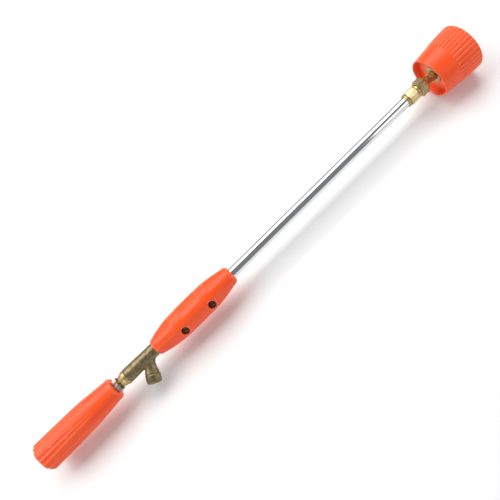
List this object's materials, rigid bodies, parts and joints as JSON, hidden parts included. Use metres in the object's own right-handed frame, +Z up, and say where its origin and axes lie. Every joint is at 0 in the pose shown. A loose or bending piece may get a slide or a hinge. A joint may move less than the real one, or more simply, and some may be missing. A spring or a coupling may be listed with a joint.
{
  "type": "high-pressure orchard spray lance",
  "caption": "Hand-held high-pressure spray lance: twist handle with hose branch behind a clamp-on grip, chromed tube and fluted bell round an adjustable nozzle.",
  "frame": {"origin": "centre of the bounding box on the ground under the lance, as it lies with the bell's rim touching", "axes": "+X along the lance from the rear handle to the bell, +Z up, the hose branch on the -Y side and 27 degrees below horizontal"},
  "size_m": [0.6116, 0.0538, 0.0538],
  "materials": {
    "orange_plastic": "moulded, semi-gloss",
    "forged_brass": "dull olive forged brass, fine turning lines",
    "turned_brass": "turned, satin",
    "spindle_brass": "threaded, bright",
    "copper_washer": "soft, satin",
    "chromed_tube": "polished",
    "zinc_steel": "zinc plated",
    "dark_nickel": "dark nickel",
    "white_packing": "smooth",
    "black_rubber": "matte"
  },
  "bodies": {
    "lance": {"gland_nut": "turned_brass", "packing_ring": "white_packing", "packing_washer": "turned_brass", "valve_body": "forged_brass", "grip_half_near": "orange_plastic", "grip_half_far": "orange_plastic", "grip_screw_rear": "dark_nickel", "grip_nut_rear": "dark_nickel", "grip_screw_front": "dark_nickel", "grip_nut_front": "dark_nickel", "lance_tube": "chromed_tube", "tube_collar": "turned_brass", "tube_adapter": "turned_brass", "adapter_washer": "copper_washer", "nozzle_body": "turned_brass", "bell_lock_nut": "turned_brass", "bell_washer": "turned_brass", "nozzle_cap": "turned_brass", "nozzle_seal": "black_rubber", "orifice_disc": "zinc_steel", "bell": "orange_plastic"},
    "rod": {"control_rod": "zinc_steel", "swirl_core": "turned_brass"},
    "handle": {"handle": "orange_plastic", "handle_end_cap": "orange_plastic", "spindle_washer": "zinc_steel", "spindle_rear_nut": "zinc_steel", "handle_lock_nut": "dark_nickel", "spindle": "spindle_brass", "rod_retainer": "spindle_brass"}
  },
  "joints": [
    {"name": "rod_slide", "type": "slide", "parent": "lance", "child": "rod", "axis": [1, 0, 0], "range_m": [-0.007, 0.0015]},
    {"name": "handle_turn", "type": "hinge", "parent": "rod", "child": "handle", "pos_m": [-0.30585, 0, 0.0269], "axis": [1, 0, 0], "range_deg": [-630, 135]}
  ],
  "couplings": [
    {"joint": "handle_turn", "follows": "rod_slide", "rad_per_m": 1570}
  ]
}
